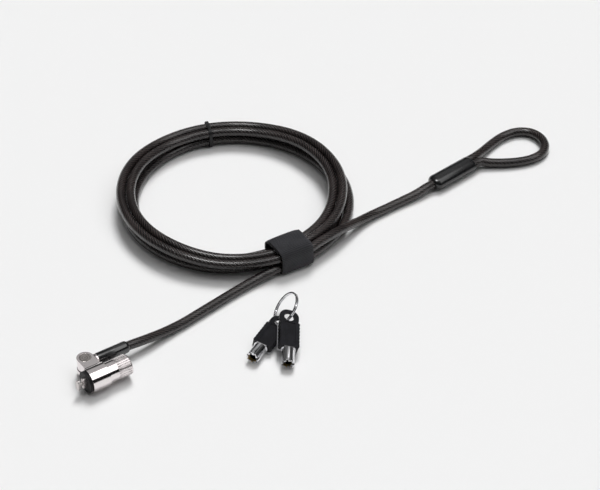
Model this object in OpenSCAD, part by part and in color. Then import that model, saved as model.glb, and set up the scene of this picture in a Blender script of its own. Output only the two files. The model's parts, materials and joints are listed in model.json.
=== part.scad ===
// Laptop cable lock: a T-bar lock head on a swivel and pivot, a jacketed steel cable
// wound in a coil and held by a strap, an eye loop, and two tubular keys on a ring.
// Millimetres. The floor is z = 0 and the lock head's axis lies along X, nose towards -X.

/* [Cable] */
// Diameter over the jacket
cable_d = 5; // [4:0.1:6]
// Diameter of the bare steel rope
rope_d = 3.2; // [2:0.1:3.8]

/* [Coil] */
// Radius of the outermost turn, on the cable's centre
coil_radius = 64; // [50:1:80]
// Number of turns, half of them in each layer
coil_turns = 4; // [2:2:8]
// Gap between neighbouring turns and between layers
turn_gap = 0.45; // [0.42:0.01:1.2]
// Extra height of the upper layer between the strap and the tie
layer_fan = 3; // [0:0.5:8]

/* [Lock head] */
// Radius of the swivel ring at the front
ring_r = 6.6; // [6.2:0.1:8]
// Length of the swivel ring
ring_l = 10.4; // [9:0.1:14]
// Radius of the housing's plain middle
body_r = 5.7; // [5.5:0.1:6.1]
// Length of the housing's plain middle
body_l = 5.2; // [4:0.1:8]
// Radius of the fluted grip at the rear
grip_r = 5.6; // [5.4:0.1:6]
// Length of the fluted grip
grip_l = 8.4; // [8:0.1:12]
// Number of flutes round the grip
grip_flutes = 28; // [12:1:36]
// Radius of each flute
flute_r = 0.35; // [0.2:0.05:0.5]

/* [Nose] */
// Radius of the black nose washer
nose_r = 5.9; // [5.4:0.1:6.4]
// Thickness of the nose washer
nose_t = 1.4; // [0.8:0.1:2.5]
// Length of the locator boss along the security slot
locator_l = 6.2; // [5.5:0.1:6.6]
// Width of the locator boss across the slot
locator_w = 2.9; // [2.6:0.1:3]
// How far the locator boss stands out of the nose washer
locator_out = 1.6; // [1:0.1:2.5]
// Length of the T-bar's head
t_bar_l = 6.2; // [5.5:0.1:6.6]
// Width of the T-bar's head
t_bar_w = 2.7; // [2.4:0.1:2.9]
// Thickness of the T-bar's head
t_bar_t = 1.5; // [1:0.1:2]
// Space between the locator boss and the T-bar's head
t_bar_gap = 1.6; // [0.8:0.1:2.5]
// Radius of the T-bar's neck
neck_r = 1; // [0.8:0.05:1.1]

/* [Lock inside] */
// Radius of the housing's bearing journal inside the swivel ring
journal_r = 5.15; // [4.9:0.05:5.4]
// Radius of the bore that holds the plug and the pin chamber
chamber_r = 4.3; // [4.1:0.05:4.5]
// Thickness of the locator plate inside the nose
plate_t = 1.6; // [1:0.1:2.4]
// Length of the pin chamber
chamber_l = 6.8; // [6:0.1:9]
// Length of the plug
plug_l = 4.9; // [4.6:0.1:6]
// Radius of the plug's spindle
spindle_r = 1.5; // [1.3:0.05:1.7]
// Number of pin stacks
pin_count = 8; // [4:1:8]
// Radius of the tumbler pins
pin_r = 0.42; // [0.3:0.02:0.46]
// Length of the driver pins
driver_l = 2; // [1.6:0.1:2.4]
// Travel of the pins when the key is pulled out
pin_travel = 1.2; // [0.8:0.1:1.4]
// Shortest key pin
key_pin_min = 2; // [1.6:0.1:2.4]
// Step between key pin lengths
key_pin_step = 0.45; // [0.2:0.05:0.5]
// Radius of the pin that fixes the pin chamber
dowel_r = 0.6; // [0.4:0.05:0.8]

/* [Keyway] */
// Outer radius of the keyway
keyway_r = 3.55; // [3.5:0.01:3.7]
// Radius of the post that the key slides over
post_r = 2.4; // [2.2:0.05:2.45]

/* [Pivot] */
// Distance from the lock's axis to the pivot pin
pivot_off = 12; // [11.6:0.1:14]
// Distance from the ring's front face to the pivot pin
pivot_back = 6; // [4.6:0.1:8]
// Half width of the lugs, which is also their end radius
lug_r = 4.5; // [4:0.1:5]
// Height of the lugs over all
lug_h = 9.2; // [8:0.1:10.4]
// Thickness of each lug
lug_t = 2.3; // [1.8:0.1:2.8]
// Radius of the pivot pin
pivot_r = 1.5; // [1.2:0.1:2]
// Radius of the cap over the pivot pin
cap_r = 3.2; // [2.6:0.1:3.8]
// Thickness of the cap
cap_t = 0.5; // [0.3:0.1:0.8]
// Radius of the anchor's hub between the lugs
hub_r = 4.2; // [3.6:0.1:4.4]
// Width of the anchor's arm
arm_w = 4.8; // [4:0.1:5.2]
// Distance from the pivot pin to the anchor's collar
arm_l = 5.6; // [5.2:0.1:8]
// Length of the anchor's collar
collar_l = 1.2; // [1:0.1:6]

/* [Cable fittings] */
// Radius of the glossy boot over the cable's end
boot_r = 3.3; // [3:0.1:3.8]
// Length of the boot
boot_l = 18.4; // [14:0.1:30]
// Length of the anchor's socket inside the boot
socket_l = 7; // [4:0.1:10]
// Wall of the anchor's socket
socket_wall = 0.6; // [0.4:0.1:0.8]
// Width of the ferrule cover at the eye
cover_w = 10.6; // [10.2:0.1:13]
// Thickness of the ferrule cover
cover_h = 7.4; // [6.6:0.1:9]
// Length of the ferrule cover
cover_l = 29; // [22:0.5:36]
// Length of the cover's rounded front end
cover_taper = 2.4; // [1.6:0.1:6]
// Wall of the ferrule cover
cover_wall = 0.9; // [0.6:0.1:1.2]
// How much smaller the cover's front face is all round
cover_end_inset = 1; // [0.5:0.1:1.1]

/* [Strap and tie] */
// Width of the strap
strap_w = 19; // [12:1:25]
// Thickness of the strap
strap_t = 1.4; // [0.8:0.1:2]
// Thickness of the strap's overlapping end
overlap_t = 1; // [0.6:0.1:1.6]
// How far the overlapping end stays clear of the strap's corners
overlap_inset = 4; // [3.5:0.1:6]
// Width of the thin tie at the back of the coil
tie_w = 2.2; // [1.5:0.1:4]
// Thickness of the tie
tie_t = 0.6; // [0.4:0.1:1]

/* [Keys] */
// Outer radius of the key's barrel
barrel_r = 3.45; // [3.3:0.01:3.48]
// Radius of the barrel's bore
barrel_bore_r = 2.5; // [2.46:0.01:2.7]
// Length of the barrel in front of the head, with its shoulder
barrel_l = 10.2; // [10:0.1:15]
// Thickness of metal left at the bottom of the barrel's bore
barrel_end_t = 1.2; // [1:0.1:1.3]
// Width of each cut in the barrel's tip
bitting_w = 1; // [0.95:0.01:1.2]
// Depth of the shallowest cut in the barrel's tip
bitting_min = 0.5; // [0.3:0.1:1]
// Radius of the barrel's shoulder at the head
key_collar_r = 3.9; // [3.7:0.1:4.4]
// Thickness of the barrel's shoulder
key_collar_t = 0.9; // [0.5:0.1:1.5]
// Length of the key's head
head_l = 25.6; // [23:0.1:30]
// Width of the key's head
head_w = 10.6; // [10:0.1:14]
// Thickness of the key's head with its back plate
head_t = 5.4; // [4.6:0.1:6]
// Thickness of the steel back plate
back_t = 1; // [0.6:0.1:1.4]
// How far the back plate stands out of the head all round
back_out = 0.25; // [0:0.05:0.5]
// Thickness of the head where the ring passes
tab_t = 1.5; // [1.4:0.1:3]
// Length of the thin end that the ring passes through
tab_l = 9.4; // [8.5:0.1:11]
// Radius of the hole for the key ring
ring_hole_r = 2.7; // [2.6:0.1:3]
// Length of the recessed panel on the head
panel_l = 13.6; // [8:0.1:15]
// Width of the border beside the recessed panel
panel_border = 2.4; // [1.6:0.1:3]
// Depth of the recessed panel
panel_depth = 0.4; // [0.2:0.1:0.8]
// Distance from the lock's axis to the ring hole of the upper key, across the floor
keys_out = 18.5; // [16.5:0.1:30]

/* [Key ring] */
// Radius of the key ring, on the centre of its wire
key_ring_r = 9; // [8:0.1:11]
// Thickness of the ring in its own plane
key_ring_t = 0.9; // [0.7:0.1:1.4]
// Width of the ring across its plane, over two turns of flat wire
key_ring_w = 1.4; // [1.2:0.1:2.2]

/* [Clearances] */
// Radial clearance of every running fit
run_gap = 0.05; // [0.02:0.01:0.09]
// Radial clearance of the tumbler pins
pin_gap = 0.03; // [0.02:0.01:0.05]
// Gap between fixed pieces that fit into each other
fit_gap = 0.02; // [0.01:0.01:0.05]
// Gap at each end face between pieces that turn on each other
end_gap = 0.15; // [0.1:0.05:0.3]

/* [Hidden] */
$fn = 48;
small_fn = 24;

// Places on the floor
nose_x = -58;
lock_y = 14.6;
lock_z = ring_r;
coil_centre = [88.2, 101.1];

// Lock head stations, measured back from the swivel ring's front face
shoulder_z = ring_l + 2 * end_gap;
seat_z = shoulder_z + body_l;
housing_l = seat_z + grip_l - 0.6;
grip_wall_t = 0.6;
seat_r = grip_r - 0.85;
chamber_z = plate_t + 1;
shear_z = chamber_z + chamber_l;
plug_z = shear_z + 0.1;
keyway_z = plug_z + plug_l;
pin_circle_r = (barrel_r + barrel_bore_r) / 2;
function pin_angle(i) = 360 * (i + 0.5) / pin_count;
function pin_code(i) = key_pin_step * ((i * 3) % 4);
post_end_z = housing_l - 0.4;
locator_z = -nose_t - locator_out;
head_back_z = locator_z - t_bar_gap;
head_front_z = head_back_z - t_bar_t;

// Pivot
pivot_x = nose_x + pivot_back;
pivot_y = lock_y + pivot_off;
lug_low = lock_z - lug_h / 2;
hub_h = lug_h - 2 * lug_t - 2 * end_gap;
collar_x = pivot_x + arm_l;
boot_x = collar_x + collar_l;
boot_end_x = boot_x + boot_l;
socket_end_x = boot_x + socket_l;

// Coil: two layers, spiralling in below and out above
coil_start_angle = -93;
rings_per_turn = 24;
coil_sides = 6;
pitch = cable_d + turn_gap;
half_turns = coil_turns / 2;
climb_turns = 0.5;
bind_spread = 34;
fan_spread = 60;
tie_angle = 71;
strap_lift = strap_t + 0.1;
tie_lift = tie_t + 0.1;

// Routes of the free stretches, on the cable's centre
lock_route = [
    [socket_end_x + 0.1, pivot_y, lock_z], [boot_end_x, pivot_y, lock_z],
    [-14, 27.1, 5.2], [-3, 28.4, 3.5], [9, 30, 2.6], [21, 32, 2.5], [33, 34, 2.5],
    [44, 35.8, 2.5], [54, 37.1, 2.7], [62, 37.6, 3.1], [69, 37.5, 3.8]
];
eye_route = [
    [102, 38.3, 9.4], [110, 39.9, 9], [118, 42, 7.8], [126, 44.4, 5.9],
    [134, 46.6, 3.9], [143, 48.2, 2.8],
    [153, 48.8, 2.5], [165, 49.2, 2.6], [174, 49.3, 3.1]
];
cover_start = [186, 50.6, 3.8];
cover_angle = 7;
strand_off = 2.6;
loop_route = [
    [224, 49.6, 3], [231, 45.2, 2.6], [239, 41.2, 2.5], [247, 39.2, 2.5], [254.5, 40.2, 2.5],
    [260.2, 45, 2.6], [262.4, 52.2, 2.7], [260.6, 59.2, 2.6], [255, 63.8, 2.5],
    [246.5, 65, 2.5], [237, 63.2, 2.5], [228, 60.2, 2.8]
];

// Keys: the first leans on the second, the second lies flat, and the ring leans on both
key_l = barrel_l + head_l;
hole_from_end = 4.6;
key_2_shift = 4.25;
key_ring_shift = 8.15;
hole_x = key_l - hole_from_end;
keys_y = lock_y - keys_out;
key_1_hole = [53.2, keys_y];
key_1_dir = 54.7;
key_1_rise = 9;
key_1_roll = 18;
key_2_hole = [50.2, keys_y + key_2_shift];
key_2_dir = 29;
key_2_roll = 8;
plate_low = -head_t / 2;
body_low = plate_low + back_t;
key_ring_centre = [56.77, keys_y + key_ring_shift];
key_ring_turn = 62.2;
key_ring_lean = 39.8;
key_ring_z = (key_ring_r + key_ring_t / 2) * cos(key_ring_lean)
    + key_ring_w / 2 * sin(key_ring_lean) + 0.05;

cable_colour = [0.08, 0.075, 0.08];
chrome_colour = [0.78, 0.78, 0.8];
steel_colour = [0.6, 0.6, 0.62];
black_colour = [0.05, 0.05, 0.055];
brass_colour = [0.78, 0.6, 0.3];

// ---- Helpers ----

function unit(v) = v / norm(v);

function smooth(x) = x <= 0 ? 0 : x >= 1 ? 1 : x * x * (3 - 2 * x);

// Shortest way round between two angles
function angle_gap(a, b) = abs(((a - b) % 360 + 540) % 360 - 180);

// Direction of a route at point i, from its neighbours
function route_dir(path, i) =
    unit(path[min(i + 1, len(path) - 1)] - path[max(i - 1, 0)]);

// One ring of a swept tube: sides points about centre c, square to direction t
function ring_points(c, t, r, sides) =
    let (across = unit(cross([0, 0, 1], t)), up = cross(t, across))
    [for (k = [0 : sides - 1])
        let (a = 90 + 360 * k / sides)
        c + r * (cos(a) * across + sin(a) * up)];

// A closed tube of triangles along a route
module swept_tube(path, r, sides) {
    rings = len(path);
    points = [for (i = [0 : rings - 1])
        each ring_points(path[i], route_dir(path, i), r, sides)];
    walls = [for (i = [0 : rings - 2], k = [0 : sides - 1])
        let (a = i * sides + k, b = i * sides + (k + 1) % sides)
        each [[a, b, b + sides], [a, b + sides, a + sides]]];
    last = (rings - 1) * sides;
    ends = [for (k = [1 : sides - 2])
        each [[0, k + 1, k], [last, last + k, last + k + 1]]];
    polyhedron(points = points, faces = concat(walls, ends), convexity = 10);
}

module place_lock() {
    translate([nose_x, lock_y, lock_z]) rotate([0, 90, 0]) children();
}

// A round bar or disc on the lock's axis from station z0 to z1
module lock_bar(r, z0, z1) {
    translate([0, 0, z0]) cylinder(r = r, h = z1 - z0);
}

// A flat oblong with round ends along local X, from station z0 to z1
module oblong(l, w, z0, z1) {
    translate([0, 0, z0]) linear_extrude(z1 - z0) {
        square([l - w, w], center = true);
        for (s = [-1, 1]) translate([s * (l - w) / 2, 0]) circle(d = w);
    }
}

// One copy for each pin stack
module each_pin() {
    for (i = [0 : pin_count - 1])
        rotate(pin_angle(i)) translate([pin_circle_r, 0, 0]) children();
}

// ---- Lock head, fixed pieces ----

module lock_housing() {
    color(chrome_colour) place_lock() difference() {
        union() {
            lock_bar(journal_r, 0, shoulder_z);
            lock_bar(body_r, shoulder_z, seat_z);
            lock_bar(seat_r, seat_z, housing_l);
        }
        lock_bar(chamber_r, -1, keyway_z + 0.1);
        lock_bar(keyway_r, keyway_z, housing_l + 1);
        translate([0, 0, chamber_z + chamber_l / 2]) rotate([-90, 0, 0])
            cylinder(r = dowel_r, h = journal_r + 1, $fn = small_fn);
    }
}

module nose_washer() {
    color(black_colour) place_lock() difference() {
        lock_bar(nose_r, -nose_t, 0);
        oblong(locator_l + 2 * fit_gap, locator_w + 2 * fit_gap, -nose_t - 1, 1);
    }
}

module locator_plate() {
    color(chrome_colour) place_lock() difference() {
        union() {
            lock_bar(chamber_r - fit_gap, fit_gap, plate_t);
            oblong(locator_l, locator_w, locator_z, plate_t);
        }
        lock_bar(neck_r + run_gap, locator_z - 1, plate_t + 1);
    }
}

module knurled_grip() {
    round_r = 0.8;
    grip_end = housing_l + grip_wall_t;
    color(chrome_colour) place_lock() difference() {
        rotate_extrude($fn = 96) difference() {
            union() {
                translate([keyway_r, seat_z + fit_gap])
                    square([grip_r - keyway_r, grip_end - seat_z - fit_gap - round_r]);
                translate([keyway_r, seat_z + 1])
                    square([grip_r - keyway_r - round_r, grip_end - seat_z - 1]);
                translate([grip_r - round_r, grip_end - round_r]) circle(r = round_r);
            }
            translate([0, seat_z - 1]) square([seat_r + fit_gap, housing_l + fit_gap - seat_z + 1]);
        }
        for (i = [0 : grip_flutes - 1])
            rotate(360 * i / grip_flutes) translate([grip_r + 0.1, 0, seat_z + 0.5])
                cylinder(r = flute_r, h = grip_l - 1.4, $fn = 16);
    }
}

module pin_chamber() {
    color(brass_colour) place_lock() difference() {
        lock_bar(chamber_r - fit_gap, chamber_z, shear_z);
        lock_bar(spindle_r + run_gap, chamber_z - 1, shear_z + 1);
        each_pin() lock_bar(pin_r + pin_gap, chamber_z + 1.5, shear_z + 1, $fn = small_fn);
        translate([0, 0, chamber_z + chamber_l / 2]) rotate([-90, 0, 0])
            translate([0, 0, chamber_r - 0.6]) cylinder(r = dowel_r, h = 2, $fn = small_fn);
    }
}

module chamber_dowel() {
    color(steel_colour) place_lock()
        translate([0, 0, chamber_z + chamber_l / 2]) rotate([-90, 0, 0])
            translate([0, 0, chamber_r - 0.6 + fit_gap])
                cylinder(r = dowel_r - fit_gap, h = journal_r - 0.2 - chamber_r + 0.6, $fn = small_fn);
}

module pin_springs() {
    spring_end = shear_z - 0.05 - driver_l;
    color(steel_colour) place_lock() each_pin() difference() {
        lock_bar(pin_r, chamber_z + 1.55, spring_end, $fn = small_fn);
        lock_bar(pin_r * 0.6, chamber_z + 1, spring_end + 1, $fn = small_fn);
    }
}

module driver_pins() {
    color(brass_colour) place_lock() each_pin()
        lock_bar(pin_r, shear_z - 0.05 - driver_l, shear_z - 0.05, $fn = small_fn);
}

// ---- Lock head, turning pieces ----

module key_pins() {
    color(brass_colour) place_lock()
        for (i = [0 : pin_count - 1])
            rotate(pin_angle(i)) translate([pin_circle_r, 0, 0])
                lock_bar(pin_r, plug_z + 0.05, plug_z + 0.05 + key_pin_min + pin_code(i),
                    $fn = small_fn);
}

module lock_plug() {
    color(brass_colour) place_lock() difference() {
        union() {
            lock_bar(chamber_r - run_gap, plug_z, keyway_z);
            lock_bar(spindle_r, chamber_z + 2.4, plug_z + 0.1);
        }
        lock_bar(neck_r + fit_gap, chamber_z, plug_z - 0.6);
        lock_bar(spindle_r - 0.3, plug_z + 0.6, keyway_z + 1);
        each_pin() lock_bar(pin_r + pin_gap, plug_z - 1, keyway_z + 1, $fn = small_fn);
    }
}

module centre_post() {
    color(steel_colour) place_lock() {
        lock_bar(post_r, keyway_z + fit_gap, post_end_z);
        lock_bar(spindle_r - 0.3 - fit_gap, plug_z + 0.7, keyway_z + 0.1);
    }
}

module t_bar() {
    color(chrome_colour) place_lock() {
        oblong(t_bar_l, t_bar_w, head_front_z, head_back_z);
        lock_bar(neck_r, head_front_z + 0.2, plug_z - 0.7);
        lock_bar(neck_r + 1, plate_t + end_gap, chamber_z - end_gap);
    }
}

// ---- Swivel and pivot ----

// Outline of a lug from above: straight sides from the ring, round end at the pin
module lug_outline() {
    translate([pivot_x, pivot_y]) circle(r = lug_r);
    translate([pivot_x - lug_r, lock_y]) square([2 * lug_r, pivot_off]);
}

module swivel_ring() {
    gap_r = lug_r + 0.8;
    color(chrome_colour) difference() {
        union() {
            place_lock() lock_bar(ring_r, end_gap, end_gap + ring_l);
            translate([0, 0, lug_low]) linear_extrude(lug_h) lug_outline();
        }
        place_lock() lock_bar(journal_r + run_gap, -1, shoulder_z + 1);
        translate([pivot_x, pivot_y, lug_low + lug_t])
            cylinder(r = min(gap_r, pivot_off - ring_r - 0.05), h = lug_h - 2 * lug_t);
        translate([pivot_x, pivot_y, lug_low - 1]) cylinder(r = pivot_r, h = lug_h + 2);
        translate([pivot_x, pivot_y, lug_low + lug_h - cap_t]) cylinder(r = cap_r, h = cap_t + 1);
    }
}

module pivot_pin() {
    color(steel_colour) translate([pivot_x, pivot_y, lug_low + 0.2])
        cylinder(r = pivot_r, h = lug_h - cap_t - 0.2);
}

module pivot_cap() {
    color(steel_colour) translate([pivot_x, pivot_y, lug_low + lug_h - cap_t])
        cylinder(r = cap_r - fit_gap, h = cap_t - 0.05);
}

module cable_anchor() {
    color(chrome_colour) difference() {
        union() {
            translate([pivot_x, pivot_y, lock_z - hub_h / 2]) cylinder(r = hub_r, h = hub_h);
            translate([pivot_x, pivot_y - arm_w / 2, lock_z - hub_h / 2])
                cube([arm_l + 0.2, arm_w, hub_h]);
            translate([collar_x, pivot_y, lock_z]) rotate([0, 90, 0]) {
                cylinder(r = boot_r, h = collar_l);
                cylinder(r = rope_d / 2 + socket_wall, h = collar_l + socket_l);
            }
        }
        translate([pivot_x, pivot_y, lock_z - hub_h]) cylinder(r = pivot_r + run_gap, h = 2 * hub_h);
        translate([boot_x - 2, pivot_y, lock_z]) rotate([0, 90, 0])
            cylinder(r = rope_d / 2 + fit_gap, h = socket_l + 3);
    }
}

// ---- Cable ----

module rope_end() {
    color(steel_colour) translate([boot_x - 2 + fit_gap, pivot_y, lock_z]) rotate([0, 90, 0])
        cylinder(r = rope_d / 2, h = socket_end_x - boot_x + 2);
}

module cable_boot() {
    color(black_colour) translate([boot_x, pivot_y, lock_z]) rotate([0, 90, 0]) difference() {
        cylinder(r = boot_r, h = boot_l);
        translate([0, 0, -1]) cylinder(r = rope_d / 2 + socket_wall + fit_gap, h = socket_l + 1.05);
        translate([0, 0, socket_l]) cylinder(r = cable_d / 2 + fit_gap, h = boot_l);
    }
}

function bind_lift(a) =
    strap_lift * (1 - smooth((angle_gap(a, coil_start_angle) - 12) / bind_spread))
    + tie_lift * (1 - smooth((angle_gap(a, tie_angle) - 4) / bind_spread));

// The coil's centre line, t counted in turns
function coil_radius_at(t) = coil_radius - pitch * (half_turns - abs(t - half_turns));

// How far the upper layer rises off the lower one: nothing where the strap or tie holds it
function fan_at(a) = smooth((angle_gap(a, coil_start_angle) - 14) / fan_spread)
    * smooth((angle_gap(a, tie_angle) - 6) / fan_spread);

function coil_point(t) =
    let (a = coil_start_angle + 360 * t, r = coil_radius_at(t),
        layer = smooth((t - half_turns + climb_turns / 2) / climb_turns))
    [coil_centre[0] + r * cos(a), coil_centre[1] + r * sin(a),
        cable_d / 2 + layer * (pitch + layer_fan * fan_at(a)) + bind_lift(a)];

coil_tangent = [-sin(coil_start_angle), cos(coil_start_angle), 0];
coil_in = coil_point(0) - cable_d * coil_tangent;
coil_out = coil_point(coil_turns) + cable_d * coil_tangent;
coil_path = [
    coil_in,
    for (i = [0 : coil_turns * rings_per_turn]) coil_point(i / rings_per_turn),
    coil_out
];

// Least gap between turns, measured between points at least half a turn apart
coil_gap = min([for (i = [1 : len(coil_path) - 2], j = [1 : len(coil_path) - 2])
    if (j - i > rings_per_turn / 2) norm(coil_path[i] - coil_path[j])]) - cable_d;
echo(coil_gap = coil_gap);

module lock_side_cable() {
    color(cable_colour)
        swept_tube(concat(lock_route, [coil_in - cable_d * coil_tangent, coil_in]), cable_d / 2, 8);
}

module cable_coil() {
    color(cable_colour) swept_tube(coil_path, cable_d / 2, coil_sides);
}

// A place on the ferrule cover: along its axis and across it
function cover_place(along, across) = cover_start
    + along * [cos(cover_angle), sin(cover_angle), 0]
    + across * [-sin(cover_angle), cos(cover_angle), 0];

module eye_side_cable() {
    color(cable_colour)
        swept_tube(concat([coil_out, coil_out + cable_d * coil_tangent], eye_route,
            [cover_place(-cable_d, 0), cover_start]), cable_d / 2, 8);
}

module eye_loop() {
    color(cable_colour) swept_tube(concat(
        [cover_place(cover_l, -strand_off), cover_place(cover_l + cable_d, -strand_off)],
        loop_route,
        [cover_place(cover_l + cable_d, strand_off), cover_place(cover_l, strand_off)]), cable_d / 2, 8);
}

// ---- Ferrule, strap and tie ----

module place_cover() {
    translate(cover_start) rotate([0, 0, cover_angle]) rotate([90, 0, 90]) children();
}

module cover_outline(inset) {
    offset_w = cover_w - 2 * inset;
    offset_h = cover_h - 2 * inset;
    square([offset_w - offset_h, offset_h], center = true);
    for (s = [-1, 1]) translate([s * (offset_w - offset_h) / 2, 0]) circle(d = offset_h);
}

module ferrule_cover() {
    color(black_colour) place_cover() difference() {
        union() {
            translate([0, 0, cover_taper]) linear_extrude(cover_l - cover_taper) cover_outline(0);
            hull() {
                translate([0, 0, cover_taper]) linear_extrude(0.01) cover_outline(0);
                translate([0, 0, cover_taper * 0.4]) linear_extrude(0.01)
                    cover_outline(cover_end_inset * 0.3);
                linear_extrude(0.01) cover_outline(cover_end_inset);
            }
        }
        translate([0, 0, cover_taper]) linear_extrude(cover_l - cover_taper - 2) cover_outline(cover_wall);
    }
}

module eye_crimp() {
    color(steel_colour) place_cover()
        translate([0, 0, cover_taper + fit_gap]) linear_extrude(cover_l - cover_taper - 2 - 2 * fit_gap)
            cover_outline(cover_wall + fit_gap);
}

// Rounded rectangle between two corners
module rounded_box(x0, x1, z0, z1, r) {
    translate([x0 + r, z0]) square([x1 - x0 - 2 * r, z1 - z0]);
    translate([x0, z0 + r]) square([x1 - x0, z1 - z0 - 2 * r]);
    for (x = [x0 + r, x1 - r], z = [z0 + r, z1 - r]) translate([x, z]) circle(r = r);
}

// Radial reach of the bundle inside the strap, outwards and inwards of the outermost turn
bundle_out = cable_d / 2 + 0.3;
bundle_in = half_turns * pitch + cable_d / 2 + 1.1;
bundle_top = strap_lift + cable_d + pitch + 0.15;

// Stands at the strap's place: local X is inwards, local Y is up, Z runs along the bundle
module place_strap() {
    translate([coil_point(0)[0], coil_point(0)[1], 0])
        rotate([0, 0, coil_start_angle + 90]) rotate([90, 0, 90])
            translate([0, 0, -strap_w / 2]) children();
}

module coil_strap() {
    color(black_colour) place_strap() linear_extrude(strap_w) difference() {
        rounded_box(-bundle_out - strap_t, bundle_in + strap_t, 0, bundle_top + strap_t, 3.4);
        rounded_box(-bundle_out, bundle_in, strap_t, bundle_top, 2);
    }
}

module strap_overlap() {
    top = bundle_top + strap_t;
    color(black_colour) place_strap() translate([0, 0, 0.4]) linear_extrude(strap_w - 0.8)
        translate([-bundle_out + overlap_inset, top])
            square([bundle_in + bundle_out - 2 * overlap_inset, overlap_t]);
}

module coil_tie() {
    middle_r = coil_radius - pitch * half_turns / 2;
    reach = cable_d / 2 + pitch / 2 + 0.4;
    top = tie_lift + cable_d + pitch + 0.1;
    color(black_colour)
        translate([coil_centre[0], coil_centre[1], 0]) rotate([0, 0, tie_angle + 180])
            translate([-middle_r, -tie_w / 2, 0]) rotate([90, 0, 0]) translate([0, 0, -tie_w])
                linear_extrude(tie_w) difference() {
                    rounded_box(-reach - tie_t, reach + tie_t, 0, top + tie_t, 2.6);
                    rounded_box(-reach, reach, tie_t, top, 2);
                }
}

// ---- Keys and ring ----

// Key frame: local origin at the tip, X towards the ring, Z out of the panel's face
module place_key_1() {
    pitch_angle = asin((key_1_rise - barrel_r) / hole_x);
    translate([key_1_hole[0], key_1_hole[1], key_1_rise]) rotate([0, 0, key_1_dir])
        rotate([0, -pitch_angle, 0]) rotate([key_1_roll, 0, 0])
            translate([-hole_x, 0, 0]) children();
}

module place_key_2() {
    translate([key_2_hole[0], key_2_hole[1], barrel_r + 0.05])
        rotate([key_2_roll, 0, key_2_dir]) translate([-hole_x, 0, 0]) children();
}

module key_barrel() {
    color(chrome_colour) rotate([0, 90, 0]) difference() {
        union() {
            cylinder(r = barrel_r, h = barrel_l - key_collar_t);
            translate([0, 0, barrel_l - key_collar_t])
                intersection() {
                    cylinder(r = key_collar_r, h = key_collar_t - fit_gap);
                    cube([head_t, 3 * head_w, 3 * key_collar_t], center = true);
                }
        }
        translate([0, 0, -1]) cylinder(r = barrel_bore_r, h = barrel_l - barrel_end_t + 1);
        for (i = [0 : pin_count - 1])
            rotate(pin_angle(i)) translate([barrel_bore_r - 0.5, -bitting_w / 2, -1])
                cube([barrel_r - barrel_bore_r + 1, bitting_w, 1 + bitting_min + pin_code(i)]);
    }
}

// Head outline from above: square shoulders at the barrel, round at the ring
module head_outline(inset) {
    w = head_w - 2 * inset;
    x0 = barrel_l + inset;
    x1 = key_l - inset;
    r = w / 2 - 0.6;
    translate([x0 + 1, -w / 2]) square([x1 - x0 - 1 - r, w]);
    translate([x0, -w / 2 + 1]) square([2, w - 2]);
    for (s = [-1, 1]) {
        translate([x0 + 1, s * (w / 2 - 1)]) circle(r = 1, $fn = small_fn);
        translate([x1 - r, s * (w / 2 - r)]) circle(r = r);
    }
    translate([x1 - 2 * r, -w / 2 + r]) square([2 * r, w - 2 * r]);
}

module key_back_plate() {
    color(steel_colour) translate([0, 0, plate_low]) linear_extrude(back_t - fit_gap)
        intersection() {
            head_outline(-back_out);
            translate([barrel_l + fit_gap, -head_w])
                square([head_l - tab_l - fit_gap, 2 * head_w]);
        }
}

module key_head() {
    rib_r = 0.55;
    rib_step = 2.2;
    rib_from = barrel_l + 3;
    rib_to = key_l - tab_l + 2.4;
    color(black_colour) difference() {
        translate([0, 0, body_low]) linear_extrude(head_t / 2 - body_low) head_outline(0);
        for (s = [-1, 1]) translate([key_l - tab_l, -head_w, s * (tab_t / 2 + head_t / 2) - head_t / 2])
            cube([tab_l + 1, 2 * head_w, head_t]);
        translate([hole_x, 0, -head_t]) cylinder(r = ring_hole_r, h = 2 * head_t);
        translate([key_l - tab_l - panel_l - 0.4, -head_w / 2 + panel_border, head_t / 2 - panel_depth])
            cube([panel_l, head_w - 2 * panel_border, panel_depth + 1]);
        for (x = [rib_from : rib_step : rib_to], s = [-1, 1])
            translate([x, s * (head_w / 2 + 0.15), -head_t])
                cylinder(r = rib_r, h = 2 * head_t, $fn = 16);
    }
}

module key_ring() {
    groove = 0.2;
    color(steel_colour)
        translate([key_ring_centre[0], key_ring_centre[1], key_ring_z])
            rotate([0, 0, key_ring_turn]) rotate([90 + key_ring_lean, 0, 0]) rotate_extrude($fn = 72)
                translate([key_ring_r, 0]) difference() {
                    square([key_ring_t, key_ring_w], center = true);
                    for (s = [-1, 1]) translate([s * key_ring_t / 2, 0]) rotate(45)
                        square(groove, center = true);
                }
}

module key_1_barrel() { place_key_1() key_barrel(); }
module key_1_back_plate() { place_key_1() key_back_plate(); }
module key_1_head() { place_key_1() key_head(); }
module key_2_barrel() { place_key_2() key_barrel(); }
module key_2_back_plate() { place_key_2() key_back_plate(); }
module key_2_head() { place_key_2() key_head(); }

lock_housing();
nose_washer();
locator_plate();
knurled_grip();
pin_chamber();
chamber_dowel();
pin_springs();
driver_pins();
key_pins();
lock_plug();
centre_post();
t_bar();
swivel_ring();
pivot_pin();
pivot_cap();
cable_anchor();
rope_end();
cable_boot();
lock_side_cable();
cable_coil();
eye_side_cable();
coil_strap();
strap_overlap();
coil_tie();
eye_crimp();
ferrule_cover();
eye_loop();
key_ring();
key_1_barrel();
key_1_back_plate();
key_1_head();
key_2_barrel();
key_2_back_plate();
key_2_head();
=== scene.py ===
"""Dresses the laptop cable lock: cable, fittings, strap, lock head, keys, and the stage."""

import json
import math

import bmesh
import bpy
from bpy.props import (
    FloatProperty,
    FloatVectorProperty,
    IntProperty,
    PointerProperty,
)
from mathutils import Matrix, Vector


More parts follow.
